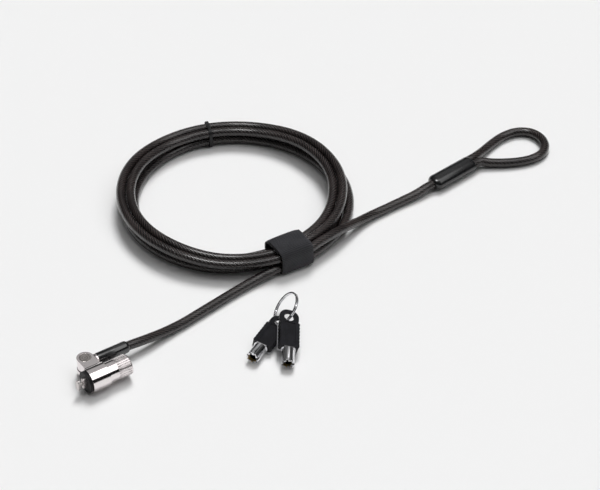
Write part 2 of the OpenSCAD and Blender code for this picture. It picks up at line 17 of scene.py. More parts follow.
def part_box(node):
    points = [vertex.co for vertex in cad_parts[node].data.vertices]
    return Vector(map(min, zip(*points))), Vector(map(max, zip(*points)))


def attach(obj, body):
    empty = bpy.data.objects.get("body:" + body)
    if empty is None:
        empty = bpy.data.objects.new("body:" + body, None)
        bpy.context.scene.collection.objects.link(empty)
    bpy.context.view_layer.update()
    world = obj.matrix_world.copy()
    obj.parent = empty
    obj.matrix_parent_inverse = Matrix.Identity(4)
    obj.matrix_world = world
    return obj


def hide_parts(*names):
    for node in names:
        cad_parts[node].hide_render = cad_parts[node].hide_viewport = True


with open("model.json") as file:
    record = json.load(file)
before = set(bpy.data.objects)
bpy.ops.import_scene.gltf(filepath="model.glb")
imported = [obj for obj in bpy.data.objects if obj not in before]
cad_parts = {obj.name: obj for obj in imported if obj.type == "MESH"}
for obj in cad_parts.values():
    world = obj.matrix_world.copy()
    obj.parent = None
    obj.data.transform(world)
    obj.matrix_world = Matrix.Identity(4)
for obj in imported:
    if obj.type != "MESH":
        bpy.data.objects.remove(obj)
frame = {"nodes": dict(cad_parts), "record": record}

bl_info = {
    "name": "Laptop Cable Lock",
    "version": (1, 0, 0),
    "blender": (4, 5, 0),
    "location": "3D Viewport > Sidebar > Cable Lock",
    "description": "Dresses a laptop cable lock with its coiled cable, fittings and keys",
    "category": "Object",
}

MM = 0.001
VIEW_CENTRE = Vector((0.098, 0.0516, 0.0))


# ---- Sizes read from the frame ----


def joint(name):
    """A joint of the record, by name."""
    return next(j for j in frame["record"]["behaviour"]["joints"] if j["name"] == name)


PIVOT = Vector(joint("cable_pivot")["pos_m"])
BOOT_LOW, BOOT_HIGH = (Vector(corner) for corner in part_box("cable_boot"))


# ---- Settings ----


def length(name, description, default):
    """A length property in metres."""
    return FloatProperty(
        name=name, description=description, default=default, min=0.0, unit="LENGTH"
    )


def colour(name, description, default):
    """A colour property without alpha."""
    return FloatVectorProperty(
        name=name,
        description=description,
        default=default,
        size=3,
        min=0.0,
        max=1.0,
        subtype="COLOR",
    )


def angle(name, description, degrees):
    """An angle property, its default given in degrees."""
    return FloatProperty(
        name=name,
        description=description,
        default=math.radians(degrees),
        subtype="ANGLE",
    )


class CableSettings(bpy.types.PropertyGroup):
    diameter: length("Diameter", "Diameter over the jacket", 0.005)
    sides: IntProperty(
        name="Sides", description="Sides of the cable's tube", default=24, min=8
    )
    ring_step: length("Ring Step", "Distance between rings of the tube", 0.0016)
    rope_lay: length("Rope Lay", "Length in which a strand goes once round", 0.022)
    strands: IntProperty(
        name="Strands", description="Outer strands of the rope", default=10, min=3
    )
    wires: IntProperty(
        name="Wires", description="Wires seen on each strand", default=4, min=2
    )
    jacket_dark: colour("Jacket Dark", "Jacket over a groove", (0.003, 0.0025, 0.003))
    jacket_light: colour("Jacket Light", "Jacket over a wire", (0.10, 0.074, 0.068))


class CoilSettings(bpy.types.PropertyGroup):
    radius: length("Radius", "Radius of the outermost turn, on its centre", 0.064)
    turns: IntProperty(name="Turns", description="Number of turns", default=4, min=2)
    turn_gap: length("Turn Gap", "Gap between neighbouring turns", 0.00045)
    layer_fan: length("Layer Fan", "Rise of the upper layer between its ties", 0.003)
    start_angle: angle("Start Angle", "Where the strap holds the coil", -93)
    tie_angle: angle("Tie Angle", "Where the thin tie holds the coil", 71)


class StrapSettings(bpy.types.PropertyGroup):
    width: length("Width", "Width of the strap", 0.019)
    thickness: length("Thickness", "Thickness of the strap", 0.0012)
    rib: length("Rib", "Distance between ribs of the weave", 0.0009)
    cloth_colour: colour("Cloth", "Colour of the weave", (0.008, 0.008, 0.010))
    tie_width: length("Tie Width", "Width of the thin tie", 0.0018)
    tie_thickness: length("Tie Thickness", "Thickness of the thin tie", 0.0007)


class FittingSettings(bpy.types.PropertyGroup):
    cover_width: length("Cover Width", "Width of the ferrule cover", 0.0106)
    cover_height: length("Cover Height", "Thickness of the ferrule cover", 0.0074)
    cover_length: length("Cover Length", "Length of the ferrule cover", 0.029)
    gloss_colour: colour("Gloss Black", "Moulded gloss black", (0.004, 0.004, 0.005))


class LockSettings(bpy.types.PropertyGroup):
    edge_round: length("Edge Round", "Rounding of the metal edges", 0.00018)
    chrome_colour: colour("Chrome", "Colour of the chrome plate", (0.85, 0.80, 0.80))
    grip_colour: colour("Grip", "Colour of the grip's satin chrome", (0.76, 0.71, 0.71))
    satin_colour: colour("Satin", "Colour of the satin nickel", (0.62, 0.58, 0.57))
    cap_colour: colour("Cap", "Colour of the pivot's steel cap", (0.72, 0.67, 0.64))
    nose_colour: colour("Nose", "Colour of the nose washer", (0.006, 0.006, 0.007))


class KeySettings(bpy.types.PropertyGroup):
    edge_round: length("Edge Round", "Rounding of the moulded edges", 0.0004)
    head_colour: colour("Head", "Colour of the moulded head", (0.004, 0.004, 0.006))
    brass_colour: colour("Brass", "Colour inside the barrel", (0.95, 0.76, 0.52))
    bore: length("Bore", "Diameter of the barrel's bore", 0.005)
    # Beyond this depth the bore's walls are black, painted shade deep in the hole.
    mouth: length("Mouth", "Depth of the bright wall in the barrel's mouth", 0.0026)


class StageSettings(bpy.types.PropertyGroup):
    azimuth: angle("Azimuth", "Camera angle round the object", 325.7)
    elevation: angle("Elevation", "Camera angle above the floor", 39)
    distance: length("Distance", "Camera distance from its target", 1.62)
    lens: FloatProperty(
        name="Lens", description="Focal length in millimetres", default=179.8, min=1.0
    )
    floor_colour: colour("Floor", "Colour of the floor", (0.86, 0.86, 0.86))
    key_power: FloatProperty(
        name="Key Power", description="Strength of the main lamp", default=2.28, min=0.0
    )
    key_angle: angle("Key Angle", "Softness of the main lamp", 24)
    dome_power: FloatProperty(
        name="Dome Power", description="Strength of the broad lamp", default=0.2, min=0.0
    )
    dome_angle: angle("Dome Angle", "Softness of the broad lamp", 80)
    glint_power: FloatProperty(
        name="Glint Power", description="Strength of the highlights", default=0.9, min=0.0
    )
    glint_angle: angle("Glint Angle", "Softness of the highlights", 16)


# ---- Shader maths ----


class Sock:
    """A socket of a shader's node tree, with arithmetic that adds Math nodes."""

    def __init__(self, shader, socket):
        self.shader, self.socket = shader, socket

    def math(self, operation, *values):
        return self.shader.node(
            "ShaderNodeMath", {"operation": operation}, (self, *values)
        )

    def reflected(self, operation, other):
        return self.shader.node(
            "ShaderNodeMath", {"operation": operation}, (other, self)
        )

    def __add__(self, other):
        return self.math("ADD", other)

    def __sub__(self, other):
        return self.math("SUBTRACT", other)

    def __rsub__(self, other):
        return self.reflected("SUBTRACT", other)

    def __mul__(self, other):
        return self.math("MULTIPLY", other)

    def __pow__(self, other):
        return self.math("POWER", other)

    def __rpow__(self, other):
        return self.reflected("POWER", other)

    __radd__ = __add__
    __rmul__ = __mul__

    def sin(self):
        return self.math("SINE")

    def fract(self):
        return self.math("FRACT")

    def clamp(self, low=0.0, high=1.0):
        return self.shader.node("ShaderNodeClamp", {}, (self, low, high))


class Shader:
    """A material or world under construction."""

    def __init__(self, owner):
        owner.use_nodes = True
        self.owner = owner
        self.tree = owner.node_tree
        self.tree.nodes.clear()

    def node(self, kind, settings=None, inputs=(), output=0):
        """Adds a node, sets it up, fills its sockets and returns one output."""
        made = self.tree.nodes.new(kind)
        for name, value in (settings or {}).items():
            if name == "stops":
                self.set_stops(made, value)
            else:
                setattr(made, name, value)
        pairs = inputs.items() if isinstance(inputs, dict) else enumerate(inputs)
        for key, value in pairs:
            self.fill(made.inputs[key], value)
        return Sock(self, made.outputs[output]) if made.outputs else None

    def set_stops(self, ramp_node, stops):
        """Sets a colour ramp from (place, value) pairs."""
        ramp = ramp_node.color_ramp
        while len(ramp.elements) < len(stops):
            ramp.elements.new(0.5)
        for element, (place, value) in zip(ramp.elements, stops):
            element.position = place
            element.color = (*rgb(value), 1.0)

    def fill(self, socket, value):
        """Links a socket or sets its constant."""
        if isinstance(value, Sock):
            self.tree.links.new(value.socket, socket)
        elif value is not None:
            if socket.type == "RGBA":
                value = (*rgb(value), 1.0)
            socket.default_value = value

    def place(self, kind="Object"):
        """Texture coordinates: the object's own, its UV map, or the room's directions."""
        return self.node("ShaderNodeTexCoord", output=kind)

    def split(self, vector):
        """The three components of a vector."""
        first = self.node("ShaderNodeSeparateXYZ", {}, (vector,))
        return [Sock(self, out) for out in first.socket.node.outputs]

    def noise(self, vector, scale, detail, rough=0.5):
        """A noise texture's value."""
        inputs = {
            "Vector": vector,
            "Scale": scale,
            "Detail": detail,
            "Roughness": rough,
        }
        return self.node("ShaderNodeTexNoise", {}, inputs)

    def mix(self, factor, low, high):
        """Mixes two colours."""
        inputs = {0: factor, 6: low, 7: high}
        return self.node("ShaderNodeMix", {"data_type": "RGBA"}, inputs, 2)

    def span(self, value, from_low, from_high, to_low=0.0, to_high=1.0):
        """Maps a range of values to another, clamped."""
        inputs = (value, from_low, from_high, to_low, to_high)
        return self.node("ShaderNodeMapRange", {"clamp": True}, inputs)

    def bump(self, height, strength, distance):
        """A surface normal bent by a height."""
        inputs = {"Height": height, "Strength": strength, "Distance": distance}
        return self.node("ShaderNodeBump", {}, inputs)

    def surface(self, **values):
        """Adds the Principled shader and the output. Names use _ for spaces."""
        inputs = {name.replace("_", " "): value for name, value in values.items()}
        bsdf = self.node("ShaderNodeBsdfPrincipled", {}, inputs)
        self.node("ShaderNodeOutputMaterial", {}, {"Surface": bsdf})
        return self.owner


def rgb(value):
    """A colour as three numbers, from one number or three."""
    if isinstance(value, (int, float)):
        return (value,) * 3
    return tuple(value)[:3]


def new_shader(name):
    """A new material, ready for its nodes."""
    return Shader(bpy.data.materials.new(name))


def dress(obj, material):
    """Puts one material on a piece."""
    obj.data.materials.clear()
    obj.data.materials.append(material)


# ---- Modelling helpers ----


def deselect():
    """Leaves edit mode and deselects everything."""
    if bpy.context.object and bpy.context.object.mode != "OBJECT":
        bpy.ops.object.mode_set(mode="OBJECT")
    bpy.ops.object.select_all(action="DESELECT")


def activate(obj):
    """Makes one object the only selected and active one."""
    deselect()
    obj.select_set(True)
    bpy.context.view_layer.objects.active = obj


def apply_place(obj):
    """Moves the object's place into its mesh."""
    activate(obj)
    bpy.ops.object.transform_apply(location=True, rotation=True, scale=True)


def apply_modifier(obj, kind, **settings):
    """Adds a modifier, sets it up and applies it."""
    activate(obj)
    modifier = obj.modifiers.new(kind.title(), kind)
    for name, value in settings.items():
        setattr(modifier, name, value)
    bpy.ops.object.modifier_apply(modifier=modifier.name)


def round_edges(obj, width, segments=2, sharp=35):
    """Rounds the edges sharper than an angle and smooths the rest."""
    apply_modifier(
        obj,
        "BEVEL",
        width=width,
        segments=segments,
        limit_method="ANGLE",
        angle_limit=math.radians(sharp),
    )
    activate(obj)
    bpy.ops.object.shade_smooth_by_angle(angle=math.radians(sharp))
    apply_modifier(obj, "WEIGHTED_NORMAL", mode="FACE_AREA", keep_sharp=True)


def clean(obj, merge=1e-6):
    """Merges doubles and turns all faces outwards."""
    activate(obj)
    bpy.ops.object.mode_set(mode="EDIT")
    bpy.ops.mesh.select_all(action="SELECT")
    bpy.ops.mesh.remove_doubles(threshold=merge)
    bpy.ops.mesh.normals_make_consistent(inside=False)
    bpy.ops.object.mode_set(mode="OBJECT")


def turned(name, profile, segments=64):
    """A round body about its own X axis, from a closed profile of (along, radius)."""
    deselect()
    along, radius = profile[0]
    bpy.ops.mesh.primitive_circle_add(
        vertices=segments,
        radius=radius,
        fill_type="NOTHING",
        location=(along, 0, 0),
        rotation=(0, math.pi / 2, 0),
    )
    obj = bpy.context.object
    obj.name = name
    obj.data.name = name
    apply_place(obj)
    bpy.ops.object.mode_set(mode="EDIT")
    bpy.ops.mesh.select_all(action="SELECT")
    for (x0, r0), (x1, r1) in zip(profile, profile[1:]):
        bpy.ops.mesh.extrude_edges_move(
            TRANSFORM_OT_translate={"value": (x1 - x0, 0, 0)}
        )
        bpy.ops.transform.resize(
            value=(1, r1 / r0, r1 / r0), center_override=(x1, 0, 0)
        )
    bpy.ops.object.mode_set(mode="OBJECT")
    clean(obj)
    return obj


def cap_ends(obj):
    """Closes every open end with one face."""
    activate(obj)
    bpy.ops.object.mode_set(mode="EDIT")
    bpy.ops.mesh.select_mode(type="EDGE")
    bpy.ops.mesh.select_all(action="DESELECT")
    bpy.ops.mesh.select_non_manifold()
    bpy.ops.mesh.fill_holes(sides=0)
    bpy.ops.object.mode_set(mode="OBJECT")


def put(obj, matrix):
    """Places a piece modelled at the origin, and applies the place."""
    obj.matrix_world = matrix
    apply_place(obj)


def refined(node, body, material, slot, width, segments=2, sharp=35):
    """A merged copy of a CAD node with rounded edges, in the node's place."""
    source = frame["nodes"][node]
    activate(source)
    bpy.ops.object.duplicate()
    obj = bpy.context.object
    obj.parent = None
    obj.matrix_world = Matrix.Identity(4)
    obj.name = node + "_finish"
    obj.data.name = node + "_finish"
    bpy.ops.object.mode_set(mode="EDIT")
    bpy.ops.mesh.select_all(action="SELECT")
    bpy.ops.mesh.remove_doubles(threshold=2e-6)
    bpy.ops.mesh.dissolve_limited(angle_limit=math.radians(0.5))
    bpy.ops.object.mode_set(mode="OBJECT")
    round_edges(obj, width, segments, sharp)
    dress(obj, material)
    settle(obj, body, slot, node)
    return obj


def line_bore_with_painted_shade(barrel, head, bore, mouth, materials):
    """Gives the walls of a key's bore their own metal at the mouth, and the head's black
    beyond as painted shade.
    """
    low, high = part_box(barrel.name.removesuffix("_finish"))
    middle = (low + high) / 2
    run = (middle - sum(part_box(head), Vector()) / 2).normalized()
    tip = max((v.co - middle).dot(run) for v in barrel.data.vertices)
    activate(barrel)
    for face in barrel.data.polygons:
        face.select = True
    bpy.ops.object.mode_set(mode="EDIT")
    bpy.ops.mesh.bisect(plane_co=middle + run * (tip - mouth), plane_no=run)
    bpy.ops.object.mode_set(mode="OBJECT")
    for material in materials:
        barrel.data.materials.append(material)
    # Inner walls: brass near the mouth; deeper walls and the bottom get black as painted
    # shade.
    for face in barrel.data.polygons:
        out = face.center - middle
        along = out.dot(run)
        if out.dot(face.normal) < 0 and (out - along * run).length < bore * 0.55:
            face.material_index = 1 if along > tip - mouth else 2


def settle(obj, body, slot, *nodes):
    """Rides a piece on its body, in the place of its CAD nodes."""
    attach(obj, body)
    if nodes:
        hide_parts(*nodes)


# ---- The cable's route ----

LOCK_ROUTE = [
    (-14, 27.1, 5.2),
    (-3, 28.4, 3.5),
    (9, 30, 2.6),
    (21, 32, 2.5),
    (33, 34, 2.5),
    (44, 35.8, 2.5),
    (54, 37.1, 2.7),
    (62, 37.6, 3.1),
    (69, 37.5, 3.8),
]
EYE_ROUTE = [
    (102, 38.3, 9.4),
    (110, 39.9, 9),
    (118, 42, 7.8),
    (126, 44.4, 5.9),
    (134, 46.6, 3.9),
    (143, 48.2, 2.8),
    (153, 48.8, 2.5),
    (165, 49.2, 2.6),
    (174, 49.3, 3.1),
]
LOOP_ROUTE = [
    (224, 49.6, 3),
    (231, 45.2, 2.6),
    (239, 41.2, 2.5),
    (247, 39.2, 2.5),
    (254.5, 40.2, 2.5),
    (260.2, 45, 2.6),
    (262.4, 52.2, 2.7),
    (260.6, 59.2, 2.6),
    (255, 63.8, 2.5),
    (246.5, 65, 2.5),
    (237, 63.2, 2.5),
    (228, 60.2, 2.8),
]
COIL_CENTRE = Vector((0.0882, 0.1011, 0))
COVER_START = Vector((0.186, 0.0506, 0.0038))
COVER_ANGLE = math.radians(7)
STRAND_OFFSET = 0.0026
SOCKET_END = -0.0381
COVER_DEPTH = 0.0008
EYE_DEPTH = 0.002
CLIMB_TURNS = 0.5
POINTS_PER_TURN = 48
CURVE_STEPS = 12

# The bands round the coil. A floor is the clearance under a band.
STRAP_LIFT = 0.0015
STRAP_START = 0.0015
STRAP_GAP = 0.0003
STRAP_SIDE = 0.0004
STRAP_ROOM = 0.0011
STRAP_FLOOR = 0.0002
STRAP_CORNER = 0.0031
STRAP_STEP = 0.0006
STRAP_COLUMNS = 20
STRAP_EDGE = 0.0002
EDGE_CURL = 0.0003
CLOTH_SWAY = 0.00012
LAP_CORNER = 0.0034
LAP_GAP = 0.00015
LAP_POINTS = 9
LAP_EASE = 6
LAP_ENDS = ((0.006, 0.0001), (0.0035, 0.0))
CORNER_POINTS = 7
TIE_LIFT = 0.0007
TIE_GAP = 0.0001
TIE_SIDE = 0.0002
TIE_FLOOR = 0.00006
TIE_CORNER = 0.0024
TIE_STEP = 0.0008
TIE_COLUMNS = 4

# Degrees of the coil on each side of a band: held flat, then the stretch in which it eases
STRAP_HOLD = 14
TIE_HOLD = 6
FAN_EASE = 60
STRAP_NEAR = 12
TIE_NEAR = 4
LIFT_EASE = 34


def metres(points):
    """Route points in metres, from millimetres."""
    return [Vector(p) * MM for p in points]


def smooth_step(x):
    """Eases from 0 to 1 without corners."""
    x = min(max(x, 0.0), 1.0)
    return x * x * (3 - 2 * x)


def angle_gap(a, b):
    """Shortest way round between two angles, in degrees."""
    return abs((math.degrees(a - b) + 540) % 360 - 180)


def coil_point(turn, coil, cable):
    """The coil's centre line, by turns from where it starts."""
    a = coil.start_angle + math.tau * turn
    pitch = cable.diameter + coil.turn_gap
    half = coil.turns / 2
    radius = coil.radius - pitch * (half - abs(turn - half))
    from_strap = angle_gap(a, coil.start_angle)
    from_tie = angle_gap(a, coil.tie_angle)
    fan = smooth_step((from_strap - STRAP_HOLD) / FAN_EASE)
    fan *= smooth_step((from_tie - TIE_HOLD) / FAN_EASE)
    layer = smooth_step((turn - half + CLIMB_TURNS / 2) / CLIMB_TURNS)
    lift = STRAP_LIFT * (1 - smooth_step((from_strap - STRAP_NEAR) / LIFT_EASE))
    lift += TIE_LIFT * (1 - smooth_step((from_tie - TIE_NEAR) / LIFT_EASE))
    height = cable.diameter / 2 + layer * (pitch + coil.layer_fan * fan) + lift
    return COIL_CENTRE + Vector((radius * math.cos(a), radius * math.sin(a), height))


def cover_place(along, across):
    """A place on the ferrule cover, along its axis and across it."""
    run = Vector((math.cos(COVER_ANGLE), math.sin(COVER_ANGLE), 0))
    side = Vector((-run.y, run.x, 0))
    return COVER_START + along * run + across * side


def cable_points(coil, cable):
    """Route points of the whole cable, from the anchor's socket to the ferrule."""
    d = cable.diameter
    tangent = Vector((-math.sin(coil.start_angle), math.cos(coil.start_angle), 0))
    coil_in = coil_point(0, coil, cable) - d * tangent
    coil_out = coil_point(coil.turns, coil, cable) + d * tangent
    steps = coil.turns * POINTS_PER_TURN
    wound = [coil_point(i / POINTS_PER_TURN, coil, cable) for i in range(steps + 1)]
    socket = Vector((SOCKET_END, PIVOT.y, PIVOT.z))
    boot_end = Vector((BOOT_HIGH.x, PIVOT.y, PIVOT.z))
    return (
        [socket, boot_end]
        + metres(LOCK_ROUTE)
        + [coil_in - d * tangent, coil_in]
        + wound
        + [coil_out, coil_out + d * tangent]
        + metres(EYE_ROUTE)
        + [cover_place(-d, 0), cover_place(COVER_DEPTH, 0)]
    )


def flowing(points, step):
    """Even points on a smooth curve through all the route's points, and its length."""
    dense = []
    ends = [2 * points[0] - points[1]] + points + [2 * points[-1] - points[-2]]
    for p0, p1, p2, p3 in zip(ends, ends[1:], ends[2:], ends[3:]):
        t01 = max((p1 - p0).length, 1e-6) ** 0.5
        t12 = max((p2 - p1).length, 1e-6) ** 0.5
        t23 = max((p3 - p2).length, 1e-6) ** 0.5
        m1 = p2 - p1 + t12 * ((p1 - p0) / t01 - (p2 - p0) / (t01 + t12))
        m2 = p2 - p1 + t12 * ((p3 - p2) / t23 - (p3 - p1) / (t12 + t23))
        for k in range(CURVE_STEPS):
            t = k / CURVE_STEPS
            a = 2 * t**3 - 3 * t**2 + 1
            b = t**3 - 2 * t**2 + t
            c = -2 * t**3 + 3 * t**2
            e = t**3 - t**2
            dense.append(a * p1 + b * m1 + c * p2 + e * m2)
    dense.append(points[-1])
    total = sum((q - p).length for p, q in zip(dense, dense[1:]))
    count = max(2, round(total / step))
    even, run, i = [dense[0]], 0.0, 0
    for k in range(1, count):
        goal = total * k / count
        while run + (dense[i + 1] - dense[i]).length < goal:
            run += (dense[i + 1] - dense[i]).length
            i += 1
        part = (goal - run) / (dense[i + 1] - dense[i]).length
        even.append(dense[i].lerp(dense[i + 1], part))
    return even + [dense[-1]], total


def tube(name, path, radius, sides):
    """A closed tube along a path. Its UV map runs once round it, and along it in metres."""
    mesh = bpy.data.meshes.new(name)
    obj = bpy.data.objects.new(name, mesh)
    bpy.context.scene.collection.objects.link(obj)
    bm = bmesh.new()
    uv = bm.loops.layers.uv.new("Along")
    run = (path[1] - path[0]).normalized()
    across = run.cross(Vector((0, 0, 1))).normalized()
    rings, lengths = [], [0.0]
    for i, point in enumerate(path):
        ahead = (path[min(i + 1, len(path) - 1)] - path[max(i - 1, 0)]).normalized()
        across = (across - across.dot(ahead) * ahead).normalized()
        up = ahead.cross(across)
        if i:
            lengths.append(lengths[-1] + (point - path[i - 1]).length)
        rings.append(
            [
                bm.verts.new(
                    point
                    + radius * math.cos(math.tau * k / sides) * across
                    + radius * math.sin(math.tau * k / sides) * up
                )
                for k in range(sides)
            ]
        )
    for i in range(len(rings) - 1):
        for k in range(sides):
            n = (k + 1) % sides
            face = bm.faces.new(
                (rings[i][k], rings[i][n], rings[i + 1][n], rings[i + 1][k])
            )
            face.smooth = True
            corners = ((k, i), (k + 1, i), (k + 1, i + 1), (k, i + 1))
            for loop, (side, ring) in zip(face.loops, corners):
                loop[uv].uv = (side / sides, lengths[ring])
    bm.faces.new(list(reversed(rings[0])))
    bm.faces.new(rings[-1])
    bmesh.ops.recalc_face_normals(bm, faces=bm.faces)
    bm.to_mesh(mesh)
    bm.free()
    return obj


def ribbon(name, rows, joined=False, size=None):
    """A mesh through rows of points. Joined rows make a ring; a size gives a UV map."""
    mesh = bpy.data.meshes.new(name)
    obj = bpy.data.objects.new(name, mesh)
    bpy.context.scene.collection.objects.link(obj)
    bm = bmesh.new()
    uv = bm.loops.layers.uv.new("Weave") if size else None
    grid = [[bm.verts.new(point) for point in row] for row in rows]
    for i in range(len(grid) if joined else len(grid) - 1):
        row, ahead = grid[i], grid[(i + 1) % len(grid)]
        for k in range(len(row) - 1):
            face = bm.faces.new((row[k], row[k + 1], ahead[k + 1], ahead[k]))
            face.smooth = True
            if size:
                corners = ((k, i), (k + 1, i), (k + 1, i + 1), (k, i + 1))
                for loop, (column, line) in zip(face.loops, corners):
                    loop[uv].uv = (
                        size[0] * column / (len(row) - 1),
                        size[1] * line / (len(grid) - 1),
                    )
    if joined:
        bmesh.ops.recalc_face_normals(bm, faces=bm.faces)
    bm.to_mesh(mesh)
    bm.free()
    return obj


# ---- Materials ----


def cable_material(cable):
    """Smoky clear jacket over twisted strands of fine wire."""
    s = new_shader("cable_jacket")
    around, along, _ = s.split(s.place("UV"))
    turn = along * (1 / cable.rope_lay)
    strand = ((around - turn) * cable.strands).fract()
    ridge = (strand * math.pi).sin()
    wire_count = cable.strands * cable.wires
    wire = ((around * wire_count + turn * (wire_count * 0.6)).fract() * math.pi).sin()
    body = s.place("Object")
    haze = s.noise(body, 70, 2.0)
    shine = ridge**5.0 * (0.35 + wire * 0.65) * s.span(haze, 0.35, 0.7, 0.45, 1.0)
    tint = s.mix(shine.clamp(), cable.jacket_dark, cable.jacket_light)
    height = ridge * 0.7 + wire * 0.3
    return s.surface(
        Base_Color=tint,
        Roughness=s.span(haze, 0.3, 0.7, 0.20, 0.30),
        Specular_IOR_Level=0.4,
        Normal=s.bump(height, 0.35, 0.0004),
        Coat_Weight=0.8,
        Coat_Roughness=0.12,
        Coat_IOR=1.42,
    )


def gloss_black(name, colour_value, coat_ior):
    """Moulded gloss black with faint waves and fine dust scratches."""
    s = new_shader(name)
    body = s.place()
    wave = s.noise(body, 140, 2.0)
    dust = s.noise(body, 2600, 3.0)
    return s.surface(
        Base_Color=s.mix(s.span(dust, 0.62, 0.8), colour_value, (0.035, 0.035, 0.04)),
        Roughness=s.span(wave, 0.3, 0.7, 0.22, 0.34),
        Specular_IOR_Level=0.4,
        Normal=s.bump(wave, 0.08, 0.0006),
        Coat_Weight=1.0,
        Coat_Roughness=0.1,
        Coat_IOR=coat_ior,
    )


def matte_black(name, colour_value, grain, rough):
    """Moulded matte black with a fine spark-eroded grain and rubbed edges."""
    s = new_shader(name)
    body = s.place()
    fine = s.noise(body, grain, 3.0)
    rub = s.noise(body, 260, 3.0)
    lighter = tuple(c * 1.9 + 0.003 for c in colour_value)
    return s.surface(
        Base_Color=s.mix(s.span(rub, 0.45, 0.75), colour_value, lighter),
        Roughness=s.span(rub, 0.3, 0.7, rough - 0.06, rough + 0.1),
        Specular_IOR_Level=0.3,
        Normal=s.bump(fine, 0.25, 0.0002),
    )


def plated(name, colour_value, low, high, streak=0.0):
    """Plated metal: faint waves, hair scratches and a little dirt."""
    s = new_shader(name)
    body = s.place()
    wave = s.noise(body, 210, 2.0)
    x, y, z = s.split(body)
    drawn = s.node("ShaderNodeCombineXYZ", {}, (x * 0.08, y, z))
    hair = s.noise(drawn, 5200, 4.0, 0.65)
    dirt = s.span(s.noise(body, 480, 4.0), 0.56, 0.78)
    shade = tuple(c * 0.82 for c in colour_value)
    return s.surface(
        Base_Color=s.mix(dirt * 0.6, colour_value, shade),
        Metallic=1.0,
        Roughness=s.span(hair, 0.35, 0.7, low, high),
        Normal=s.bump(wave * 0.35 + hair * streak, 0.04, 0.0002),
    )


def turned_steel(name, colour_value, centre):
    """Steel with rings of turning marks round an upright axis."""
    s = new_shader(name)
    shift = {"Vector": s.place(), "Location": (-centre.x, -centre.y, 0.0)}
    x, y, _ = s.split(s.node("ShaderNodeMapping", {}, shift))
    out = (x * x + y * y) ** 0.5
    marks = (out * 5600.0).sin() * 0.5 + 0.5
    grime = s.span(s.noise(s.place(), 420, 4.0), 0.4, 0.75)
    shade = tuple(c * 0.45 for c in colour_value)
    return s.surface(
        Base_Color=s.mix((marks * 0.5 + grime * 0.4).clamp(), colour_value, shade),
        Metallic=1.0,
        Roughness=s.span(grime, 0.0, 1.0, 0.16, 0.34),
        Normal=s.bump(marks, 0.25, 0.0001),
    )


def brass(colour_value):
    """Machined brass with turning marks."""
    s = new_shader("brass")
    body = s.place()
    marks = s.noise(body, 1500, 3.0)
    tarnish = s.span(s.noise(body, 300, 3.0), 0.45, 0.75)
    shade = tuple(c * 0.6 for c in colour_value)
    return s.surface(
        Base_Color=s.mix(tarnish, colour_value, shade),
        Metallic=1.0,
        Roughness=s.span(marks, 0.3, 0.7, 0.32, 0.5),
        Normal=s.bump(marks, 0.1, 0.0002),
    )


def strap_material(strap):
    """Woven strap: cross ribs of yarn with fine hooks between them."""
    s = new_shader("strap_fabric")
    across, along, _ = s.split(s.place("UV"))
    rib = ((along * (1 / strap.rib)).fract() * math.pi).sin()
    warp = ((across * (1.35 / strap.rib)).fract() * math.pi).sin()
    body = s.place()
    fuzz = s.noise(body, 2600, 4.0, 0.7)
    broad = s.noise(body, 170, 3.0)
    weave = rib * 0.6 + warp * 0.4
    light = tuple(c * 3.4 + 0.012 for c in strap.cloth_colour)
    shade = weave**2 * (0.5 + fuzz) * (0.5 + broad)
    return s.surface(
        Base_Color=s.mix(shade.clamp(), strap.cloth_colour, light),
        Roughness=0.86,
        Normal=s.bump(weave * 0.7 + fuzz * 0.5, 0.9, 0.0004),
        Sheen_Weight=0.12,
        Sheen_Roughness=0.5,
    )


# ---- Operators ----


